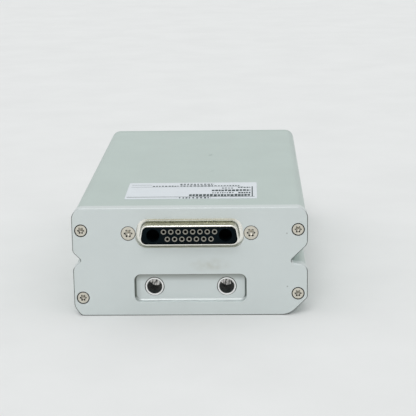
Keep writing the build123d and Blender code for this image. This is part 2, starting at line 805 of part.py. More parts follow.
# ---------------------------------------------------------------- electronics
def main_board():
    half = MAIN_BOARD_HALF_WIDTH
    span = (depth(MAIN_BOARD_START), depth(MAIN_BOARD_END))
    board = block((-half, half), span, (MAIN_BOARD_Z, BOARD_TOP))
    for x, y in standoff_places():
        board -= post(x, y, M25_RADIUS, MAIN_BOARD_Z, BOARD_TOP)
    return board


def standoff_places():
    """X and Y of the four posts between the two boards."""
    xs = (POWER_BOARD_X[0] + STANDOFF_INSET, POWER_BOARD_X[1] - STANDOFF_INSET)
    ys = (depth(POWER_BOARD_Y[0] + STANDOFF_INSET), depth(POWER_BOARD_Y[1] - STANDOFF_INSET))
    return [(x, y) for x in xs for y in ys]


def power_board():
    span = (depth(POWER_BOARD_Y[0]), depth(POWER_BOARD_Y[1]))
    board = block(POWER_BOARD_X, span, (POWER_BOARD_Z, POWER_TOP))
    for x, y in standoff_places():
        board -= post(x, y, M25_RADIUS, POWER_BOARD_Z, POWER_TOP)
    return board


def board_standoffs():
    section = RegularPolygon(STANDOFF_RADIUS, 6) - Circle(M25_RADIUS)
    return [slab(Pos(x, y) * section, BOARD_TOP, POWER_BOARD_Z) for x, y in standoff_places()]


def board_screws():
    """Four screws into the standoffs from above, and four from below."""
    size = (M25_RADIUS, PAN_HEAD_RADIUS, PAN_HEAD_HEIGHT, BOARD_THICK + BOARD_SCREW_BITE)
    screws = []
    for x, y in standoff_places():
        screws.append(pan_screw_down(x, y, POWER_TOP, *size))
        screws.append(pan_screw_down(x, y, -MAIN_BOARD_Z, *size).mirror(Plane.XY))
    return screws


def board_header():
    """The right-angle connector that joins the connector board to the main board."""
    xs = (-HEADER_HALF_SPAN, HEADER_HALF_SPAN)
    near = depth(CONNECTOR_BOARD_DEPTH + BOARD_THICK)
    foot = depth(MAIN_BOARD_START + HEADER_GAP)
    far = depth(HEADER_DEPTH_END)
    low = CONNECTOR_BOARD_Z[0] + HEADER_GAP
    bridge = block(xs, (near, far), (low, low + HEADER_BRIDGE))
    return bridge + block(xs, (foot, far), (BOARD_TOP, low))


def processor_chip():
    half = PROCESSOR_HALF_WIDTH
    near, far = PROCESSOR_Y
    seat = BOARD_TOP + SUBSTRATE_THICK
    body = block((-half, half), PROCESSOR_Y, (seat, BOARD_TOP + PROCESSOR_HEIGHT))
    body = chamfer(body.faces().sort_by(Axis.Z)[-1].edges(), PROCESSOR_EDGE)
    inner = half - SUBSTRATE_INSET
    span = (near + SUBSTRATE_INSET, far - SUBSTRATE_INSET)
    return body + block((-inner, inner), span, (BOARD_TOP, seat))


def memory_chips():
    levels = (BOARD_TOP, BOARD_TOP + MEMORY_HEIGHT)
    return [block((x, x + MEMORY_WIDTH), MEMORY_Y, levels) for x in MEMORY_X]


def chip_capacitors():
    """Rows of small capacitors beside the processor."""
    width, length, height = CHIP_CAPACITOR_SIZE
    steps = range(CHIP_CAPACITOR_COUNT)
    starts = [CHIP_CAPACITOR_START + index * CHIP_CAPACITOR_STEP for index in steps]
    return [
        block((x, x + width), (y, y + length), (BOARD_TOP, BOARD_TOP + height))
        for x in CHIP_CAPACITOR_X
        for y in starts
    ]


def power_inductors():
    levels = (POWER_TOP, POWER_TOP + INDUCTOR_HEIGHT)
    coils = [block((x, x + INDUCTOR_WIDTH), INDUCTOR_Y, levels) for x in INDUCTOR_X]
    return [fillet(coil.edges().filter_by(Axis.Z), INDUCTOR_CORNER) for coil in coils]


def smoothing_capacitors():
    top = POWER_TOP + ELECTROLYTIC_HEIGHT
    cans = [post(x, ELECTROLYTIC_Y, ELECTROLYTIC_RADIUS, POWER_TOP, top) for x in ELECTROLYTIC_X]
    return [fillet(can.faces().sort_by(Axis.Z)[-1].edges(), ELECTROLYTIC_EDGE) for can in cans]


def board_connectors():
    """The ribbon's headers, the link between the boards, and the sensor board's socket."""
    xs = (-HEADER_HALF_WIDTH, HEADER_HALF_WIDTH)
    sensor_x = (SENSOR_BOARD_X[1], SENSOR_BOARD_X[1] + SENSOR_HEADER_REACH)
    sensor_z = (OPTICS_TOP, OPTICS_TOP + SENSOR_HEADER_HEIGHT)
    return [
        block(xs, MAIN_HEADER_Y, (BOARD_TOP, BOARD_TOP + HEADER_HEIGHT)),
        block(xs, OPTICS_HEADER_Y, (OPTICS_TOP, OPTICS_TOP + HEADER_HEIGHT)),
        block(STACK_LINK_X, STACK_LINK_Y, (BOARD_TOP, POWER_BOARD_Z)),
        block(sensor_x, SENSOR_HEADER_Y, sensor_z),
    ]


def optics_ribbon():
    """The flat ribbon from the main board down to the optics board."""
    start_z = BOARD_TOP + HEADER_HEIGHT / 2
    end_z = OPTICS_TOP + HEADER_HEIGHT / 2
    corners = [
        (0, MAIN_HEADER_Y[1], start_z),
        (0, RIBBON_DROP_Y, start_z),
        (0, RIBBON_DROP_Y, end_z),
        (0, OPTICS_HEADER_Y[0], end_z),
    ]
    path = FilletPolyline(*corners, radius=RIBBON_BEND)
    start = Plane(origin=path @ 0, x_dir=(1, 0, 0), z_dir=path % 0)
    return sweep(start * Rectangle(RIBBON_WIDTH, RIBBON_THICK), path=path)


# ---------------------------------------------------------------- motor
def optics_board():
    """The board under the motor, with a wing that reaches the sensor board."""
    levels = (CHASSIS_TOP, OPTICS_TOP)
    board = block(OPTICS_BOARD_X, OPTICS_BOARD_Y, levels)
    board += block((OPTICS_WING_X, OPTICS_BOARD_X[0]), OPTICS_WING_Y, levels)
    return board - post(0, AXIS_Y, SLEEVE_FLANGE_RADIUS, CHASSIS_TOP, OPTICS_TOP)


def bearing_sleeve():
    bore = SHAFT_RADIUS + RUNNING_FIT
    bottom, thrust_top = THRUST_Z
    points = [
        (THRUST_RADIUS, bottom),
        (SLEEVE_RADIUS, bottom),
        (SLEEVE_RADIUS, CHASSIS_TOP),
        (SLEEVE_FLANGE_RADIUS, CHASSIS_TOP),
        (SLEEVE_FLANGE_RADIUS, OPTICS_TOP),
        (SLEEVE_RADIUS, OPTICS_TOP),
        (SLEEVE_RADIUS, SLEEVE_TOP),
        (bore, SLEEVE_TOP),
        (bore, thrust_top),
        (THRUST_RADIUS, thrust_top),
    ]
    return turned_z(points, 0, AXIS_Y)


def thrust_plate():
    return post(0, AXIS_Y, THRUST_RADIUS, *THRUST_Z)


def stator_core():
    """A laminated core of nine teeth, each with a curved shoe."""
    core = Circle(STATOR_YOKE)
    length = STATOR_RADIUS - SHOE_THICK / 2
    core += PolarLocations(0, STATOR_TEETH) * (Pos(length / 2, 0) * Rectangle(length, TOOTH_WIDTH))
    shoes = Circle(STATOR_RADIUS) - Circle(STATOR_RADIUS - SHOE_THICK)
    half_step = 180 / STATOR_TEETH
    gaps = PolarLocations(0, STATOR_TEETH, start_angle=half_step) * (
        Pos(STATOR_RADIUS, 0) * Rectangle(4 * SHOE_THICK, SHOE_GAP)
    )
    core = core + (shoes - gaps) - Circle(SLEEVE_RADIUS)
    return slab(Pos(0, AXIS_Y) * core, *STATOR_Z)


def stator_coils():
    """One winding round each tooth."""
    low, high = STATOR_Z
    start, end = COIL_REACH
    half_tooth = TOOTH_WIDTH / 2
    half_coil = half_tooth + COIL_THICK
    winding = block((start, end), (-half_coil, half_coil), (low - COIL_THICK, high + COIL_THICK))
    winding = fillet(winding.edges().filter_by(Axis.X), COIL_THICK / 2)
    winding -= block((start, end), (-half_tooth, half_tooth), (low, high))
    step = 360 / STATOR_TEETH
    return [Pos(0, AXIS_Y, 0) * Rot(0, 0, index * step) * winding for index in range(STATOR_TEETH)]


def motor_shaft():
    shaft = post(0, AXIS_Y, SHAFT_RADIUS, *SHAFT_Z)
    return fillet(shaft.faces().sort_by(Axis.Z)[0].edges(), SHAFT_NOSE_RADIUS)


def rotor_hub():
    low, high = HUB_FLANGE_Z
    points = [
        (SHAFT_RADIUS, HUB_BOTTOM),
        (HUB_RADIUS, HUB_BOTTOM),
        (HUB_RADIUS, low),
        (HUB_FLANGE_RADIUS, low),
        (HUB_FLANGE_RADIUS, high),
        (HUB_RADIUS, high),
        (HUB_RADIUS, HUB_TOP),
        (SHAFT_RADIUS, HUB_TOP),
    ]
    hub = turned_z(points, 0, AXIS_Y)
    for x, y in clamp_screw_places():
        hub -= post(x, y, CLAMP_SCREW_RADIUS, CLAMP_TOP - CLAMP_SCREW_BITE, HUB_TOP)
    return hub


def rotor_cup():
    inner = CUP_RADIUS - CUP_THICK
    low = HUB_FLANGE_Z[0]
    points = [
        (HUB_RADIUS, HUB_BOTTOM),
        (HUB_RADIUS, low),
        (CUP_RADIUS, low),
        (CUP_RADIUS, CUP_BOTTOM),
        (inner, CUP_BOTTOM),
        (inner, HUB_BOTTOM),
    ]
    return turned_z(points, 0, AXIS_Y)


def rotor_magnet():
    return ring_z(CUP_RADIUS - CUP_THICK, MAGNET_INNER, *MAGNET_Z)


def encoder_disc():
    disc = Circle(DISC_RADIUS) - Circle(HUB_RADIUS)
    disc -= PolarLocations(DISC_SLOT_RADIUS, DISC_SLOTS) * Rectangle(*DISC_SLOT_SIZE)
    return slab(Pos(0, AXIS_Y) * disc, DISC_BOTTOM, MIRROR_BOTTOM)


def polygon_mirror():
    prism_section = RegularPolygon(MIRROR_RADIUS, MIRROR_SIDES) - Circle(HUB_RADIUS)
    return slab(Pos(0, AXIS_Y) * prism_section, MIRROR_BOTTOM, MIRROR_TOP)


def clamp_screw_places():
    """X and Y of the three screws that hold the mirror on its hub."""
    places = PolarLocations(CLAMP_SCREW_CIRCLE, CLAMP_SCREW_COUNT, start_angle=90)
    centres = [place.position for place in places]
    return [(centre.X, AXIS_Y + centre.Y) for centre in centres]


def mirror_clamp():
    clamp = ring_z(CLAMP_RADIUS, SHAFT_RADIUS, MIRROR_TOP, CLAMP_TOP)
    for x, y in clamp_screw_places():
        clamp -= post(x, y, CLAMP_SCREW_RADIUS, MIRROR_TOP, CLAMP_TOP)
    return clamp


def clamp_screws():
    size = (CLAMP_SCREW_RADIUS, CLAMP_HEAD_RADIUS, CLAMP_HEAD_HEIGHT, CLAMP_SCREW_BITE)
    return [pan_screw_down(x, y, CLAMP_TOP, *size) for x, y in clamp_screw_places()]


def encoder_sensor():
    """The reflective sensor, on its post, just under the disc's slots."""
    half = ENCODER_SENSOR_HALF_WIDTH
    levels = (OPTICS_TOP, DISC_BOTTOM - ENCODER_GAP)
    body = block(ENCODER_SENSOR_X, (AXIS_Y - half, AXIS_Y + half), levels)
    return chamfer(body.edges().filter_by(Axis.Z), ENCODER_SENSOR_EDGE)


# ---------------------------------------------------------------- optics
def lens_foot_screws():
    """X and Y of the two screws in the lens block's feet."""
    x = sum(LENS_BLOCK_X) / 2
    reach = LENS_BLOCK_HALF_WIDTH + LENS_FOOT / 2
    return [(x, BEAM_Y + side * reach) for side in BOTH_SIDES]


def lens_block():
    """The bored block that holds the emitter's and the receiver's lenses."""
    half = LENS_BLOCK_HALF_WIDTH
    foot = half + LENS_FOOT
    body = block(LENS_BLOCK_X, (BEAM_Y - half, BEAM_Y + half), (CHASSIS_TOP, LENS_BLOCK_TOP))
    foot_levels = (CHASSIS_TOP, CHASSIS_TOP + LENS_FOOT_THICK)
    body += block(LENS_BLOCK_X, (BEAM_Y - foot, BEAM_Y + foot), foot_levels)
    body -= bar_x(RECEIVER_BORE, LENS_SEAT_X, LENS_BLOCK_X[1], RECEIVER_Z)
    body -= bar_x(FILTER_BORE, LENS_BLOCK_X[0], LENS_SEAT_X, RECEIVER_Z)
    body -= bar_x(EMITTER_BORE, *LENS_BLOCK_X, EMITTER_Z)
    for x, y in lens_foot_screws():
        body -= post(x, y, M2_RADIUS, *foot_levels)
    return body


def lens_block_screws():
    seat = CHASSIS_TOP + LENS_FOOT_THICK
    bite = LENS_FOOT_THICK + CHASSIS_Z[0] / 2
    size = (M2_RADIUS, LENS_SCREW_HEAD, M2_HEAD_HEIGHT, bite)
    return [pan_screw_down(x, y, seat, *size) for x, y in lens_foot_screws()]


def lens(radius, x_flat, edge, bulge, z):
    """A lens with a flat rear face and a domed front face, towards +X."""
    dome_radius = (radius**2 + bulge**2) / (2 * bulge)
    crown = x_flat + edge + bulge
    dome = Pos(crown - dome_radius, BEAM_Y, z) * Rot(0, 90, 0) * Sphere(dome_radius)
    return bar_x(radius, x_flat, crown, z) & dome


def receiver_lens():
    size = (RECEIVER_LENS_EDGE, RECEIVER_LENS_BULGE)
    return lens(RECEIVER_BORE, LENS_SEAT_X, *size, RECEIVER_Z)


def lens_retaining_ring():
    start = LENS_SEAT_X + RETAINER_START
    inner = RECEIVER_BORE - RETAINER_WALL
    return ring_x(RECEIVER_BORE, inner, start, start + RETAINER_LENGTH, RECEIVER_Z)


def bandpass_filter():
    start = LENS_BLOCK_X[0] + FILTER_INSET
    return bar_x(FILTER_BORE, start, start + FILTER_THICK, RECEIVER_Z)


def collimator_barrel():
    start = LENS_BLOCK_X[0] + BARREL_INSET
    return ring_x(EMITTER_BORE, COLLIMATOR_RADIUS, start, LENS_BLOCK_X[1], EMITTER_Z)


def collimator_lens():
    start = LENS_BLOCK_X[1] - COLLIMATOR_LENS_INSET
    size = (COLLIMATOR_LENS_EDGE, COLLIMATOR_LENS_BULGE)
    return lens(COLLIMATOR_RADIUS, start, *size, EMITTER_Z)


def can(radius, flange_radius, length, z):
    """A metal can with a flange, its window towards +X."""
    start = SENSOR_BOARD_X[1]
    shoulder = start + CAN_FLANGE_THICK
    end = start + length
    body = bar_x(flange_radius, start, shoulder, z) + bar_x(radius, shoulder, end, z)
    return body - bar_x(radius * CAN_WINDOW, end - CAN_WINDOW_DEPTH, end, z)


def laser_diode():
    return can(*LASER_CAN, EMITTER_Z)


def light_detector():
    return can(*DETECTOR_CAN, RECEIVER_Z)


def sensor_board():
    return block(SENSOR_BOARD_X, SENSOR_BOARD_Y, SENSOR_BOARD_Z)


def light_baffle():
    """A thin shelf that keeps emitted light out of the receiver, cut round the mirror."""
    rear = BEAM_Y - LENS_BLOCK_HALF_WIDTH + BAFFLE_REAR_INSET
    front = BEAM_Y + LENS_BLOCK_HALF_WIDTH + BAFFLE_FRONT_REACH
    frame = Y_CASE_FRONT - FRAME_THICK
    block_edge = LENS_BLOCK_X[1]
    points = [
        (block_edge, rear),
        (block_edge, front),
        (BAFFLE_LEFT, front),
        (BAFFLE_LEFT, frame),
        (BAFFLE_RIGHT, frame),
        (BAFFLE_RIGHT, rear),
    ]
    sheet = make_face(Polyline(*points, close=True)) - Pos(0, AXIS_Y) * Circle(BAFFLE_CLEARANCE)
    return slab(sheet, *BAFFLE_Z).solids().sort_by(SortBy.VOLUME)[-1]


def scan_start_sensor():
    """The photodiode post that marks the start of each scan line."""
    base = block(SCAN_SENSOR_X, SCAN_SENSOR_Y, (CHASSIS_TOP, SCAN_SENSOR_TOP))
    base = chamfer(base.edges().filter_by(Axis.Z), SCAN_SENSOR_EDGE)
    face = SCAN_SENSOR_X[0]
    return base + block((face - SCAN_LENS_THICK, face), SCAN_LENS_Y, SCAN_LENS_Z)


# ---------------------------------------------------------------- assembly
def rear_plate_seal():
    return prism(seal_profile(), Y_CASE_REAR - SEAL_THICK, Y_CASE_REAR)


def front_bezel_seal():
    return prism(seal_profile(), Y_CASE_FRONT, Y_CASE_FRONT + SEAL_THICK)


PARTS = {
    "case_tube": case_tube,
    "rear_plate": rear_plate,
    "rear_plate_seal": rear_plate_seal,
    "rear_plate_screws": lambda: sunk_corner_screws(Y_REAR, 1),
    "guide_bush_left": lambda: guide_bush(-1),
    "guide_bush_right": lambda: guide_bush(1),
    "type_label": type_label,
    "connector_shell": connector_shell,
    "connector_rear_shell": connector_rear_shell,
    "connector_insulator": connector_insulator,
    "signal_contacts": signal_contacts,
    "connector_screws": connector_screws,
    "connector_nuts": connector_nuts,
    "connector_board": connector_board,
    "front_bezel": front_bezel,
    "front_bezel_seal": front_bezel_seal,
    "front_bezel_screws": lambda: sunk_corner_screws(Y_FRONT, -1),
    "window": window,
    "window_seal": window_seal,
    "optical_chassis": optical_chassis,
    "chassis_screws": chassis_screws,
    "main_board": main_board,
    "power_board": power_board,
    "board_standoffs": board_standoffs,
    "board_screws": board_screws,
    "board_header": board_header,
    "processor_chip": processor_chip,
    "memory_chips": memory_chips,
    "chip_capacitors": chip_capacitors,
    "power_inductors": power_inductors,
    "smoothing_capacitors": smoothing_capacitors,
    "board_connectors": board_connectors,
    "optics_ribbon": optics_ribbon,
    "optics_board": optics_board,
    "bearing_sleeve": bearing_sleeve,
    "thrust_plate": thrust_plate,
    "stator_core": stator_core,
    "stator_coils": stator_coils,
    "motor_shaft": motor_shaft,
    "rotor_hub": rotor_hub,
    "rotor_cup": rotor_cup,
    "rotor_magnet": rotor_magnet,
    "encoder_disc": encoder_disc,
    "encoder_sensor": encoder_sensor,
    "polygon_mirror": polygon_mirror,
    "mirror_clamp": mirror_clamp,
    "clamp_screws": clamp_screws,
    "lens_block": lens_block,
    "lens_block_screws": lens_block_screws,
    "receiver_lens": receiver_lens,
    "lens_retaining_ring": lens_retaining_ring,
    "bandpass_filter": bandpass_filter,
    "collimator_barrel": collimator_barrel,
    "collimator_lens": collimator_lens,
    "laser_diode": laser_diode,
    "light_detector": light_detector,
    "sensor_board": sensor_board,
    "light_baffle": light_baffle,
    "scan_start_sensor": scan_start_sensor,
}

os.makedirs("parts", exist_ok=True)
for part_name, make in PARTS.items():
    save(part_name, make())
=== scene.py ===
import json
import math
import random

import bmesh
import bpy
from mathutils import Matrix, Vector


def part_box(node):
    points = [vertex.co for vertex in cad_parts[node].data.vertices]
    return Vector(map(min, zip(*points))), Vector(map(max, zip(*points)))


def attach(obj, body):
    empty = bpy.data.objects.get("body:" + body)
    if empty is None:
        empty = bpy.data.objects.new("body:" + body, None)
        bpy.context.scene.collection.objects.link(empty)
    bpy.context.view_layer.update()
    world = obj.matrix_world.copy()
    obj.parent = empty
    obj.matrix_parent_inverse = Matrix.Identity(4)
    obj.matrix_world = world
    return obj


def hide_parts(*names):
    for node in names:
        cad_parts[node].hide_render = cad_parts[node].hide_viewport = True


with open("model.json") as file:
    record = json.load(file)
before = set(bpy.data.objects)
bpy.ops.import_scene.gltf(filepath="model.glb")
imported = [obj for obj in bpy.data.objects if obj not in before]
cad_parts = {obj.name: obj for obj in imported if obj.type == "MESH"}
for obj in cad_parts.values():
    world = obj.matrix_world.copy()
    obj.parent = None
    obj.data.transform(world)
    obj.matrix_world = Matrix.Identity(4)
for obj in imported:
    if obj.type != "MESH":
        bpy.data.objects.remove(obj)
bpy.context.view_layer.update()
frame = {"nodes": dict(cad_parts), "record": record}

MM = 0.001
random.seed(17)

# ---------------------------------------------------------------- camera
# The camera stands in front of the connector plate, above it and a little to
# the right. Distances in metres are from the middle of the plate's foot.
CAMERA_RIGHT = 0.0233
CAMERA_BACK = 0.4946
CAMERA_UP = 0.1668
CAMERA_YAW = 1.86
CAMERA_PITCH = 14.06
CAMERA_ROLL = -0.86
CAMERA_LENS = 116.1
SENSOR = 36.0
CLIP_NEAR = 0.01
CLIP_FAR = 50


def add_camera():
    """The camera, with its lens towards the connector plate."""
    data = bpy.data.cameras.new("camera")
    data.lens = CAMERA_LENS
    data.sensor_width = SENSOR
    data.clip_start = CLIP_NEAR
    data.clip_end = CLIP_FAR
    camera = bpy.data.objects.new("camera", data)
    bpy.context.scene.collection.objects.link(camera)
    plate_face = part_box("rear_plate")[0].y
    turn = Matrix.Rotation(math.radians(CAMERA_YAW), 4, "Z")
    tilt = Matrix.Rotation(math.radians(90 - CAMERA_PITCH), 4, "X")
    roll = Matrix.Rotation(math.radians(CAMERA_ROLL), 4, "Z")
    place = Matrix.Translation((CAMERA_RIGHT, plate_face - CAMERA_BACK, CAMERA_UP))
    camera.matrix_world = place @ turn @ tilt @ roll
    bpy.context.scene.camera = camera


# ---------------------------------------------------------------- shader helpers
# Noise mostly lies between these two values.
NOISE_LOW = 0.3
NOISE_HIGH = 0.7
# Cosine of the turn between a face and its softened edge: none, and a sharp edge.
EDGE_NONE = 0.995
EDGE_SHARP = 0.90
WHITE = 1.0


class Look:
    """A node material in the making, with the part's own coordinates in metres."""

    def __init__(self, name, colour, metallic, roughness):
        self.material = bpy.data.materials.new(name)
        self.material.use_nodes = True
        self.tree = self.material.node_tree
        self.shader = self.tree.nodes["Principled BSDF"]
        self.shader.inputs["Metallic"].default_value = metallic
        self.shader.inputs["Roughness"].default_value = roughness
        self.shader.inputs["Base Color"].default_value = (*colour, 1)
        self.colour = colour
        self.colour_out = colour
        self.normal_out = None
        self.place = self.add("ShaderNodeTexCoord").outputs["Object"]

    def add(self, kind, **values):
        """A new node, with its plain settings."""
        node = self.tree.nodes.new(kind)
        for key, value in values.items():
            setattr(node, key, value)
        return node

    def join(self, output, socket):
        """A link from one node to the next."""
        self.tree.links.new(output, socket)

    def noise(self, scale, detail=2.0, stretch=(1, 1, 1), offset=(0, 0, 0)):
        """Noise with this many features to the metre, stretched along the axes."""
        mapping = self.add("ShaderNodeMapping")
        mapping.inputs["Scale"].default_value = stretch
        mapping.inputs["Location"].default_value = offset
        self.join(self.place, mapping.inputs["Vector"])
        texture = self.add("ShaderNodeTexNoise")
        texture.inputs["Scale"].default_value = scale
        texture.inputs["Detail"].default_value = detail
        self.join(mapping.outputs["Vector"], texture.inputs["Vector"])
        return texture.outputs["Fac"]

    def remap(self, value, low_in, high_in, low_out, high_out):
        """A value moved from one range to another, and held inside it."""
        node = self.add("ShaderNodeMapRange")
        node.inputs["From Min"].default_value = low_in
        node.inputs["From Max"].default_value = high_in
        node.inputs["To Min"].default_value = low_out
        node.inputs["To Max"].default_value = high_out
        self.join(value, node.inputs["Value"])
        return node.outputs["Result"]

    def blend(self, factor, first, second):
        """A mix of two colours, each a tuple or an output."""
        node = self.add("ShaderNodeMix", data_type="RGBA")
        self.join(factor, node.inputs["Factor"])
        for socket, value in ((node.inputs[6], first), (node.inputs[7], second)):
            if isinstance(value, tuple):
                socket.default_value = (*value, 1)
            else:
                self.join(value, socket)
        return node.outputs[2]

    def tint(self, spread, scale, detail=3.0, stretch=(1, 1, 1)):
        """Lighter and darker cloudy patches in the base colour."""
        patches = self.noise(scale, detail, stretch)
        patches = self.remap(patches, NOISE_LOW, NOISE_HIGH, 0, 1)
        dark = tuple(c * (1 - spread) for c in self.colour)
        light = tuple(min(WHITE, c * (1 + spread)) for c in self.colour)
        self.set_colour(self.blend(patches, dark, light))

    def set_colour(self, output):
        """Make this the base colour, and the one that later steps start from."""
        self.colour_out = output
        self.join(output, self.shader.inputs["Base Color"])

    def paint(self, mask, colour, amount=1):
        """Lay a colour over the base where the mask is 1."""
        cover = self.remap(mask, 0, 1, 0, amount)
        self.set_colour(self.blend(cover, self.colour_out, colour))

    def vary_roughness(self, low, high, scale, stretch=(1, 1, 1)):
        """Duller and shinier patches, away from those of the base colour."""
        patches = self.noise(scale, 4.0, stretch, offset=(3, 5, 7))
        rough = self.remap(patches, NOISE_LOW, NOISE_HIGH, low, high)
        self.join(rough, self.shader.inputs["Roughness"])

    def relief(self, height, depth, strength=1.0):
        """A bump this many metres deep, on top of any that is there."""
        node = self.add("ShaderNodeBump")
        node.inputs["Strength"].default_value = strength
        node.inputs["Distance"].default_value = depth
        self.join(height, node.inputs["Height"])
        if self.normal_out is not None:
            self.join(self.normal_out, node.inputs["Normal"])
        self.normal_out = node.outputs["Normal"]
        self.join(self.normal_out, self.shader.inputs["Normal"])

    def shade(self, reach, colour, low, high):
        """Paint shade: darken the base colour towards this one in corners and gaps of about this size,
        where ambient occlusion finds them.
        """
        node = self.add("ShaderNodeAmbientOcclusion", samples=8)
        node.inputs["Distance"].default_value = reach
        clear = self.remap(node.outputs["AO"], low, high, 0, 1)
        self.set_colour(self.blend(clear, colour, self.colour_out))

    def past(self, axis, start, end):
        """0 before start and 1 beyond end, measured along one axis of the part."""
        split = self.add("ShaderNodeSeparateXYZ")
        self.join(self.place, split.inputs[0])
        return self.remap(split.outputs[axis], start, end, 0, 1)

    def multiply(self, first, second):
        """The product of two masks."""
        node = self.add("ShaderNodeMath", operation="MULTIPLY")
        self.join(first, node.inputs[0])
        self.join(second, node.inputs[1])
        return node.outputs[0]

    def spot(self, centre, radius, soft, squeeze=(1, 1, 1)):
        """1 inside a ball, or an ellipsoid, and 0 outside its soft edge."""
        mapping = self.add("ShaderNodeMapping")
        mapping.inputs["Scale"].default_value = squeeze
        self.join(self.place, mapping.inputs["Vector"])
        away = self.add("ShaderNodeVectorMath", operation="DISTANCE")
        self.join(mapping.outputs["Vector"], away.inputs[0])
        away.inputs[1].default_value = [c * k for c, k in zip(centre, squeeze)]
        return self.remap(away.outputs["Value"], radius + soft, radius, 0, 1)

    def facing(self, axis, start, end):
        """0 where the face's direction along this axis is start, and 1 where it is end."""
        split = self.add("ShaderNodeSeparateXYZ")
        self.join(self.add("ShaderNodeNewGeometry").outputs["Normal"], split.inputs[0])
        return self.remap(split.outputs[axis], start, end, 0, 1)

    def paint_chamfer_light(self, up, down):
        """Paint light on the chamfers round a face that looks along -Y: a painted highlight on those
        that face up, painted shade on the others.
        """
        off_face = self.facing("Y", -0.97, -0.85)
        off_side = self.facing("Y", -0.1, -0.3)
        line = self.blend(self.facing("Z", 0.2, 0.5), down, up)
        self.paint(self.multiply(off_face, off_side), line)

    def glow(self, factor, colour, strength):
        """Painted light: the surface glows where the factor is 1, as stray light inside a deep polished
        hole would light it.
        """
        self.shader.inputs["Emission Color"].default_value = (*colour, 1)
        amount = self.remap(factor, 0, 1, 0, strength)
        self.join(amount, self.shader.inputs["Emission Strength"])

    def edges(self, radius):
        """1 on edges sharper than this radius, 0 on flat faces."""
        bevel = self.add("ShaderNodeBevel", samples=4)
        bevel.inputs["Radius"].default_value = radius
        face = self.add("ShaderNodeNewGeometry")
        dot = self.add("ShaderNodeVectorMath", operation="DOT_PRODUCT")
        self.join(bevel.outputs["Normal"], dot.inputs[0])
        self.join(face.outputs["Normal"], dot.inputs[1])
        return self.remap(dot.outputs["Value"], EDGE_NONE, EDGE_SHARP, 0, 1)

    def rub_edges(self, radius, colour, amount):
        """Worn, brighter edges."""
        self.paint(self.edges(radius), colour, amount)


# ---------------------------------------------------------------- finishes
ALONG_Y = (1, 0.03, 1)
ALONG_X = (0.04, 1, 1)
RUBBED_METAL = (0.90, 0.92, 0.91)

# Dents in the case's top: millimetres right of its middle and in from the
# plate's face, then width in millimetres and darkness.
CASE_DENTS = [(5.6, 98, 1.1, 0.5), (7.1, 64.5, 0.8, 0.25)]
DENT_COLOUR = (0.33, 0.41, 0.38)
DENT_DEPTH = 0.25
DENT_STRETCH = (1, 0.5, 1)
BEZEL_COLOUR = (0.42, 0.51, 0.47)
# Painted shade in the case's grooves and corners.
CASE_SHADE_COLOUR = (0.08, 0.12, 0.12)

# Marks on the plate's face, by X and Z in metres.
RUBBED_PATCH = (0.0078, 0.0203)
RUBBED_COLOUR = (0.50, 0.51, 0.45)
PLATE_SPECKS = [(0.0372, 0.0327), (0.0374, 0.0115)]
SPECK_COLOUR = (0.2, 0.2, 0.19)
# Painted highlight on the plate's chamfers that face up, painted shade on its other chamfers.
CHAMFER_HIGHLIGHT = (0.56, 0.60, 0.60)
CHAMFER_SHADE = (0.11, 0.13, 0.12)

# The plate's pocket round the guide bores: its top and left walls, in metres.
POCKET_TOP = 0.0167
POCKET_LEFT = -0.0217
# Painted shadow on the pocket's floor under its top and left walls.
POCKET_SHADOW_COLOUR = (0.24, 0.25, 0.22)
# Painted shade in the plate's gaps and round the parts that stand on it.
PLATE_SHADE_COLOUR = (0.05, 0.06, 0.055)

# The guide bushes, by millimetres in from the mouth: where the bore's painted shade starts, and where
# the painted highlight and glow of the drilled end start.
BORE_START = (0.02, 0.14)
BORE_END = (10.6, 11.0)
BORE_SHADE_COLOUR = (0.010, 0.020, 0.020)
BORE_END_HIGHLIGHT = (0.97, 0.95, 0.90)
BORE_END_LIGHT = (1.0, 0.99, 0.96)

# Painted reflections on the connector shell's flats: olive bands on those facing up, olive on those
# facing down.
SHELL_REFLECTION_DARK = (0.42, 0.41, 0.28)
SHELL_REFLECTION_LIGHT = (0.80, 0.79, 0.64)
SHELL_UNDER_REFLECTION = (0.62, 0.60, 0.42)
# Painted shade in the shell's gaps and corners.
SHELL_SHADE_COLOUR = (0.06, 0.065, 0.045)
# Painted shade inside the contacts' sockets.
SOCKET_SHADE_COLOUR = (0.01, 0.01, 0.01)


def anodised(name, colour, roughness, metallic, lines):
    """Fine blasted aluminium with a clear anodised film; lines stretches the drawing lines."""
    look = Look(name, colour, metallic, roughness)
    look.tint(0.02, 55, 4.0)
    look.rub_edges(0.2 * MM, RUBBED_METAL, 0.6)
    look.vary_roughness(roughness - 0.05, roughness + 0.06, 120, lines)
    look.relief(look.noise(900, 2.0, lines), 0.006 * MM, 0.35)
    look.relief(look.noise(5200, 3.0), 0.012 * MM, 0.5)
    return look


def case_look():
    """Extruded skin: faint drawing lines run along Y, and two small dents are in its top."""
    look = anodised("case_aluminium", (0.532, 0.614, 0.582), 0.44, 0.55, ALONG_Y)
    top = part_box("case_tube")[1].z
    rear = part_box("rear_plate")[0].y
    for x, y, across, dark in CASE_DENTS:
        centre = Vector((x * MM, rear + y * MM, top))
        dent = look.spot(centre, across * 0.4 * MM, across * 0.6 * MM, DENT_STRETCH)
        look.relief(look.remap(dent, 0, 1, 1, 0), DENT_DEPTH * MM, 0.8)
        look.paint(dent, DENT_COLOUR, dark)
    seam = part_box("front_bezel")[0].y
    look.paint(look.past("Y", seam, seam + 0.1 * MM), BEZEL_COLOUR, 0.35)
    # Painted shade in the grooves and corners of the case.
    look.shade(3.0 * MM, CASE_SHADE_COLOUR, 0.1, 0.8)
    return look.material


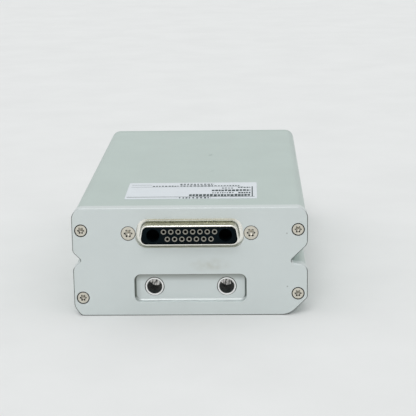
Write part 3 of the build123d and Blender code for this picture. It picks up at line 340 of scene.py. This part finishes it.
def pocket_shadow_masks(look, rear):
    """Masks for the painted shadow on the floor of the plate's pocket, near its top wall and near its
    left wall.
    """
    deep = look.past("Y", rear + 0.4 * MM, rear + 1.0 * MM)
    below = look.past("Z", POCKET_TOP + 0.6 * MM, POCKET_TOP + 0.3 * MM)
    beside = look.past("X", POCKET_LEFT - 0.6 * MM, POCKET_LEFT - 0.3 * MM)
    pocket = look.multiply(deep, look.multiply(below, beside))
    top_shadow = look.past("Z", POCKET_TOP - 3.4 * MM, POCKET_TOP - 1.0 * MM)
    left_shadow = look.past("X", POCKET_LEFT + 2.6 * MM, POCKET_LEFT + 0.3 * MM)
    return look.multiply(pocket, top_shadow), look.multiply(pocket, left_shadow)


def plate_look():
    """Milled plate: faint cutter lines run along X, with one rubbed patch and two specks."""
    look = anodised("plate_aluminium", (0.67, 0.72, 0.715), 0.42, 0.55, ALONG_X)
    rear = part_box("rear_plate")[0].y
    x, z = RUBBED_PATCH
    patch = look.spot((x, rear, z), 1.0 * MM, 4.5 * MM, (0.6, 1, 1.6))
    broken = look.remap(look.noise(300, 4.0), 0.36, 0.64, 0.1, 0.55)
    look.paint(look.multiply(patch, broken), RUBBED_COLOUR)
    for x, z in PLATE_SPECKS:
        look.paint(look.spot((x, rear, z), 0.1 * MM, 0.3 * MM), SPECK_COLOUR, 0.6)
    # Painted highlight and shade on the plate's chamfers, by which way they face.
    look.paint_chamfer_light(CHAMFER_HIGHLIGHT, CHAMFER_SHADE)
    top_shadow, left_shadow = pocket_shadow_masks(look, rear)
    # Painted shadow on the pocket's floor under its top wall, and fainter beside its left wall.
    look.paint(top_shadow, POCKET_SHADOW_COLOUR, 0.7)
    look.paint(left_shadow, POCKET_SHADOW_COLOUR, 0.35)
    # Painted shade in gaps and corners of the plate, and round the connector.
    look.shade(1.1 * MM, PLATE_SHADE_COLOUR, 0.1, 0.75)
    return look.material


def bush_look():
    """Turned steel: a polished rim, a bore painted dark as shade, and a drilled end with a painted
    highlight that glows.
    """
    look = Look("bush_steel", (0.93, 0.93, 0.92), 1.0, 0.28)
    look.tint(0.03, 900, 3.0)
    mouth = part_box("guide_bush_left")[0].y
    bore = look.past("Y", *(mouth + depth * MM for depth in BORE_START))
    # Painted shade down the bore.
    look.paint(bore, BORE_SHADE_COLOUR)
    end = look.past("Y", *(mouth + depth * MM for depth in BORE_END))
    # Painted highlight in streaks on the drilled end, which also glows as painted light.
    highlight_streaks = look.remap(look.noise(1300, 3.0, (1, 0.1, 0.35)), 0.42, 0.56, 0.05, 1)
    lit = look.multiply(end, highlight_streaks)
    look.paint(lit, BORE_END_HIGHLIGHT)
    look.glow(lit, BORE_END_LIGHT, 0.42)
    look.join(look.remap(bore, 0, 1, 1, 0), look.shader.inputs["Metallic"])
    look.shader.inputs["Specular IOR Level"].default_value = 0.04
    look.vary_roughness(0.22, 0.4, 900)
    look.relief(look.noise(2600, 3.0, (1, 0.3, 1)), 0.004 * MM, 0.6)
    return look.material


def shell_look():
    """Nickel plating, bright on its ends and lip, with painted reflections: olive bands on its upward
    flats and olive on those facing down; painted shade in its gaps.
    """
    look = Look("shell_nickel", (0.93, 0.92, 0.86), 1.0, 0.24)
    look.tint(0.03, 700, 3.0)
    reflection_bands = look.remap(look.noise(1500, 3.0, (0.02, 1, 1)), 0.4, 0.6, 0, 1)
    # Painted reflections on the shell's upward and downward flats.
    look.paint(look.facing("Z", 0.75, 0.95), look.blend(reflection_bands, SHELL_REFLECTION_DARK, SHELL_REFLECTION_LIGHT))
    look.paint(look.facing("Z", -0.75, -0.95), SHELL_UNDER_REFLECTION)
    look.vary_roughness(0.18, 0.3, 900)
    look.relief(look.noise(2600, 3.0, (0.1, 1, 1)), 0.004 * MM, 0.6)
    # Painted shade in the shell's gaps and corners.
    look.shade(0.8 * MM, SHELL_SHADE_COLOUR, 0.15, 0.7)
    return look.material


def contact_look():
    """Plated contacts: bright rims round sockets painted dark as shade."""
    look = Look("contact_metal", (0.33, 0.32, 0.28), 1.0, 0.3)
    look.tint(0.06, 700, 3.0)
    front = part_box("signal_contacts")[0].y
    # Painted shade inside each socket, past its rim.
    look.paint(look.past("Y", front + 0.05 * MM, front + 0.3 * MM), SOCKET_SHADE_COLOUR)
    look.vary_roughness(0.24, 0.42, 900)
    look.relief(look.noise(2600, 3.0), 0.004 * MM, 0.6)
    return look.material


def steel_look(name, colour, roughness, spread=0.06, grain=2600, reach=0):
    """Plated or ground metal with fine scratches, and painted shade in gaps of this reach in
    millimetres.
    """
    look = Look(name, colour, 1.0, roughness)
    look.tint(spread, 700, 3.0)
    look.vary_roughness(roughness * 0.75, roughness * 1.35, 900)
    look.relief(look.noise(grain, 3.0, (1, 1, 0.3)), 0.004 * MM, 0.6)
    if reach:
        # Painted shade in gaps and recesses, such as screw seats and drive recesses.
        look.shade(reach * MM, tuple(c * 0.05 for c in colour), 0.5, 0.95)
    return look.material


def plastic_look(name, colour, roughness, grain=3000, depth=0.008, spread=0.08, gloss=0.5):
    """Moulded plastic, rubber or paint with a fine texture."""
    look = Look(name, colour, 0.0, roughness)
    look.tint(spread, 250, 3.0)
    look.vary_roughness(roughness * 0.85, min(1.0, roughness * 1.2), 300)
    look.relief(look.noise(grain, 3.0), depth * MM, 0.6)
    look.shader.inputs["Specular IOR Level"].default_value = gloss
    return look.material


def paper_look():
    """Coated label stock, with faint fibres."""
    look = Look("label_paper", (0.66, 0.70, 0.735), 0.0, 0.5)
    look.tint(0.02, 260, 4.0)
    look.vary_roughness(0.42, 0.58, 500)
    look.relief(look.noise(2500, 4.0), 0.006 * MM, 0.5)
    return look.material


def board_look():
    """Green solder mask over faint copper tracks."""
    mask_green = (0.015, 0.11, 0.05)
    track_green = (0.03, 0.19, 0.09)
    look = Look("board_green", mask_green, 0.0, 0.35)
    brick = look.add("ShaderNodeTexBrick")
    brick.inputs["Scale"].default_value = 260
    brick.inputs["Mortar Size"].default_value = 0.03
    look.join(look.place, brick.inputs["Vector"])
    look.paint(brick.outputs["Fac"], track_green, 0.7)
    look.relief(brick.outputs["Fac"], 0.02 * MM, 0.5)
    look.vary_roughness(0.28, 0.42, 400)
    return look.material


def window_look():
    """Polished dark plastic that passes only infrared."""
    look = Look("window_dark", (0.012, 0.004, 0.007), 0.0, 0.06)
    look.tint(0.25, 90, 2.0)
    look.vary_roughness(0.04, 0.10, 150)
    look.shader.inputs["Coat Weight"].default_value = 0.6
    look.shader.inputs["Coat Roughness"].default_value = 0.03
    look.relief(look.noise(60, 2.0), 0.01 * MM, 0.2)
    return look.material


def laminated_look():
    """Stacked steel laminations, seen as fine layers along Z."""
    look = Look("motor_steel", (0.42, 0.43, 0.45), 1.0, 0.4)
    wave = look.add("ShaderNodeTexWave", bands_direction="Z")
    wave.inputs["Scale"].default_value = 450
    wave.inputs["Distortion"].default_value = 0.4
    look.join(look.place, wave.inputs["Vector"])
    look.set_colour(look.blend(wave.outputs["Fac"], (0.36, 0.37, 0.39), (0.48, 0.49, 0.50)))
    look.vary_roughness(0.32, 0.5, 500)
    look.relief(wave.outputs["Fac"], 0.01 * MM, 0.4)
    return look.material


def coil_look():
    """Enamelled copper turns, wound round each tooth."""
    look = Look("coil_copper", (0.62, 0.22, 0.09), 1.0, 0.3)
    wave = look.add("ShaderNodeTexWave", bands_direction="DIAGONAL")
    wave.inputs["Scale"].default_value = 900
    wave.inputs["Distortion"].default_value = 1.0
    look.join(look.place, wave.inputs["Vector"])
    look.set_colour(look.blend(wave.outputs["Fac"], (0.42, 0.13, 0.05), (0.72, 0.30, 0.13)))
    look.vary_roughness(0.22, 0.4, 600)
    look.relief(wave.outputs["Fac"], 0.03 * MM, 0.7)
    return look.material


def glass_look(name, colour, roughness):
    """Coated optical glass."""
    look = Look(name, colour, 0.0, roughness)
    look.shader.inputs["Transmission Weight"].default_value = 0.9
    look.shader.inputs["IOR"].default_value = 1.52
    look.tint(0.04, 120, 2.0)
    look.vary_roughness(roughness, roughness + 0.04, 200)
    return look.material


def finishes():
    """One finish for every material slot of the record."""
    return {
        "case_aluminium": case_look(),
        "plate_aluminium": plate_look(),
        "seal_rubber": plastic_look("seal_rubber", (0.02, 0.02, 0.02), 0.75, 1800, 0.02),
        "screw_steel": steel_look("screw_steel", (0.70, 0.665, 0.58), 0.34, 0.1, reach=1.0),
        "bush_steel": bush_look(),
        "label_paper": paper_look(),
        "shell_nickel": shell_look(),
        "insulator_plastic": plastic_look("insulator_plastic", (0.0015, 0.005, 0.007), 0.6, gloss=0.06),
        "contact_metal": contact_look(),
        "board_green": board_look(),
        "window_dark": window_look(),
        "chassis_black": plastic_look("chassis_black", (0.018, 0.018, 0.02), 0.55, 3600, 0.01),
        "standoff_brass": steel_look("standoff_brass", (0.72, 0.53, 0.22), 0.28),
        "chip_black": plastic_look("chip_black", (0.02, 0.02, 0.022), 0.5, 2600, 0.015),
        "capacitor_ceramic": plastic_look("capacitor_ceramic", (0.42, 0.30, 0.18), 0.4, 1500, 0.01),
        "ferrite_grey": plastic_look("ferrite_grey", (0.06, 0.06, 0.065), 0.5, 1600, 0.02),
        "capacitor_can": steel_look("capacitor_can", (0.76, 0.76, 0.77), 0.22),
        "ribbon_film": plastic_look("ribbon_film", (0.45, 0.17, 0.02), 0.25, 900, 0.004),
        "sleeve_bronze": steel_look("sleeve_bronze", (0.50, 0.30, 0.12), 0.36, grain=1400),
        "thrust_plastic": plastic_look("thrust_plastic", (0.72, 0.69, 0.58), 0.4),
        "motor_steel": laminated_look(),
        "coil_copper": coil_look(),
        "ground_steel": steel_look("ground_steel", (0.66, 0.67, 0.69), 0.18),
        "hub_aluminium": steel_look("hub_aluminium", (0.74, 0.75, 0.76), 0.28),
        "mirror_facets": steel_look("mirror_facets", (0.95, 0.78, 0.42), 0.05, 0.02, grain=600),
        "lens_glass": glass_look("lens_glass", (0.88, 0.95, 0.98), 0.02),
        "filter_glass": glass_look("filter_glass", (0.5, 0.05, 0.12), 0.05),
        "can_metal": steel_look("can_metal", (0.80, 0.66, 0.34), 0.24),
    }


def dress_nodes(looks):
    """Give every CAD node the finish of its slot."""
    for part in frame["record"]["subparts"]:
        mesh = frame["nodes"][part["node"]].data
        mesh.materials.clear()
        mesh.materials.append(looks[part["material_slot"]])


# ---------------------------------------------------------------- label
# Millimetres, apart from the number of steps round a corner.
PRINT_THICK = 0.012
LABEL_CORNER = 0.6
CORNER_STEPS = 6
UNEVEN = 0.15
# Rows of printed dashes: start and end across the label, measured from its
# middle, then the row's middle, measured from the edge nearest the connector,
# its height, and the shortest and longest dash and gap.
PRINT_ROWS = [
    (8.0, 23.4, 13.6, 3.3, (0.8, 1.3), (0.2, 0.35)),
    (-0.8, 23.4, 5.5, 3.9, (0.8, 1.3), (0.2, 0.35)),
    (12.0, 16.6, 17.6, 1.6, (0.6, 1.0), (0.3, 0.5)),
    (18.4, 23.4, 18.6, 1.9, (0.6, 1.0), (0.25, 0.4)),
    (8.3, 16.7, 9.5, 2.0, (0.4, 0.8), (0.3, 0.5)),
    (18.6, 23.4, 9.5, 2.6, (0.6, 1.0), (0.2, 0.35)),
    (-16.2, -5.8, 21.6, 1.6, (0.6, 1.1), (0.3, 0.5)),
    (8.8, 19.2, 21.9, 1.5, (0.6, 1.1), (0.3, 0.5)),
    (-5.2, 8.5, 24.7, 1.9, (0.6, 1.0), (0.4, 0.6)),
    (-5.0, 8.3, 21.8, 1.9, (0.7, 1.2), (0.3, 0.5)),
    (-4.6, 7.8, 1.3, 2.1, (0.5, 0.9), (0.5, 0.9)),
]
# Ruled lines: left, right, bottom and top edges, in the same frame.
PRINT_RULES = [
    (-24.8, 20.5, 20.1, 20.4),
    (-24.8, -16.6, 23.6, 23.9),
    (-25.3, 25.0, 2.7, 3.3),
    (23.9, 24.35, 3.4, 20.4),
]
INK = (0.012, 0.032, 0.034)


def ink_look():
    """Dark printing ink, slightly uneven."""
    look = Look("label_ink", INK, 0.0, 0.55)
    look.tint(0.25, 1500, 3.0)
    look.vary_roughness(0.45, 0.65, 900)
    return look.material


def add_mesh(name, mesh, material):
    """A new piece of the housing, made from a finished bmesh."""
    data = bpy.data.meshes.new(name)
    mesh.to_mesh(data)
    mesh.free()
    piece = bpy.data.objects.new(name, data)
    bpy.context.scene.collection.objects.link(piece)
    data.materials.append(material)
    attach(piece, "housing")
    return piece


def add_plate(mesh, low, high):
    """A thin block in a bmesh, between two corners."""
    size = high - low
    place = Matrix.Translation((low + high) / 2) @ Matrix.Diagonal((*size, 1))
    bmesh.ops.create_cube(mesh, size=1.0, matrix=place)


def label_rim(low, high):
    """The label's outline, with rounded corners, as points in X and Y."""
    inset = LABEL_CORNER * MM
    left, right = low.x + inset, high.x - inset
    near, far = low.y + inset, high.y - inset
    rim = []
    for quarter, (x, y) in enumerate(((right, far), (left, far), (left, near), (right, near))):
        for step in range(CORNER_STEPS + 1):
            angle = math.radians(90 * (quarter + step / CORNER_STEPS))
            rim.append((x + inset * math.cos(angle), y + inset * math.sin(angle)))
    return rim


def add_label_sheet(material):
    """The paper label, just thin enough to leave room for its print."""
    low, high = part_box("type_label")
    mesh = bmesh.new()
    rim = label_rim(low, high)
    upper = [mesh.verts.new((x, y, high.z - PRINT_THICK * MM)) for x, y in rim]
    lower = [mesh.verts.new((x, y, low.z)) for x, y in rim]
    mesh.faces.new(upper)
    mesh.faces.new(lower[::-1])
    for index, corner in enumerate(upper):
        mesh.faces.new((upper[index - 1], lower[index - 1], lower[index], corner))
    sheet = add_mesh("label_sheet", mesh, material)
    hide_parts("type_label")


def dashes(start, end, middle, tall, long, gap):
    """A row of short dashes of uneven length and height."""
    row = []
    x = start
    while x < end:
        width = random.uniform(*long)
        low = middle - tall / 2 + random.uniform(0, tall * UNEVEN)
        high = middle + tall / 2 - random.uniform(0, tall * UNEVEN)
        row.append((x, min(x + width, end), low, high))
        x += width + random.uniform(*gap)
    return row


def add_label_print(material):
    """Generic marks on the label, up to the height of the CAD label's face."""
    low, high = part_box("type_label")
    mesh = bmesh.new()
    marks = PRINT_RULES + [mark for row in PRINT_ROWS for mark in dashes(*row)]
    for x_from, x_to, y_from, y_to in marks:
        bottom = Vector((x_from * MM, low.y + y_from * MM, high.z - 2 * PRINT_THICK * MM))
        top = Vector((x_to * MM, low.y + y_to * MM, high.z))
        add_plate(mesh, bottom, top)
    add_mesh("label_print", mesh, material)


# ---------------------------------------------------------------- studio
FLOOR_RADIUS = 6.0
FLOOR_SEGMENTS = 96
SKY_COLOUR = (0.985, 1.0, 1.0)
HORIZON_LIGHT = 0.6
ZENITH_LIGHT = 0.95
# The sky is brightest from here up, as the sine of the elevation.
SKY_TOP = 0.9
KEY_LIGHT = 0.72
KEY_FROM = (-0.1, -0.75, 1.0)
KEY_WIDTH = 26


def floor_look():
    """Pale paper with very faint clouds."""
    look = Look("studio_floor", (0.76, 0.766, 0.765), 0.0, 0.8)
    look.tint(0.02, 22, 5.0)
    look.vary_roughness(0.6, 0.8, 60)
    look.relief(look.noise(300, 3.0), 0.03 * MM, 0.3)
    return look.material


def add_floor():
    """A wide round sheet of pale paper."""
    mesh = bmesh.new()
    bmesh.ops.create_circle(mesh, cap_ends=True, segments=FLOOR_SEGMENTS, radius=FLOOR_RADIUS)
    data = bpy.data.meshes.new("studio_floor")
    mesh.to_mesh(data)
    mesh.free()
    data.materials.append(floor_look())
    sheet = bpy.data.objects.new("studio_floor", data)
    bpy.context.scene.collection.objects.link(sheet)


def add_sky():
    """Even white light all round, brighter overhead."""
    world = bpy.data.worlds.new("studio")
    bpy.context.scene.world = world
    world.use_nodes = True
    nodes, links = world.node_tree.nodes, world.node_tree.links
    direction = nodes.new("ShaderNodeTexCoord")
    split = nodes.new("ShaderNodeSeparateXYZ")
    rise = nodes.new("ShaderNodeMapRange")
    rise.interpolation_type = "SMOOTHSTEP"
    rise.inputs["From Min"].default_value = 0
    rise.inputs["From Max"].default_value = SKY_TOP
    rise.inputs["To Min"].default_value = HORIZON_LIGHT
    rise.inputs["To Max"].default_value = ZENITH_LIGHT
    background = nodes["Background"]
    background.inputs["Color"].default_value = (*SKY_COLOUR, 1)
    links.new(direction.outputs["Generated"], split.inputs[0])
    links.new(split.outputs["Z"], rise.inputs["Value"])
    links.new(rise.outputs["Result"], background.inputs["Strength"])


def add_key():
    """A soft distant light from above the camera's left shoulder."""
    data = bpy.data.lights.new("key", "SUN")
    data.energy = KEY_LIGHT
    data.angle = math.radians(KEY_WIDTH)
    key = bpy.data.objects.new("key", data)
    bpy.context.scene.collection.objects.link(key)
    key.matrix_world = (-Vector(KEY_FROM)).to_track_quat("-Z", "Y").to_matrix().to_4x4()


# ---------------------------------------------------------------- assembly
looks = finishes()
dress_nodes(looks)
add_label_sheet(looks["label_paper"])
add_label_print(ink_look())
add_floor()
add_sky()
add_key()
bpy.context.scene.view_settings.view_transform = "Standard"
add_camera()
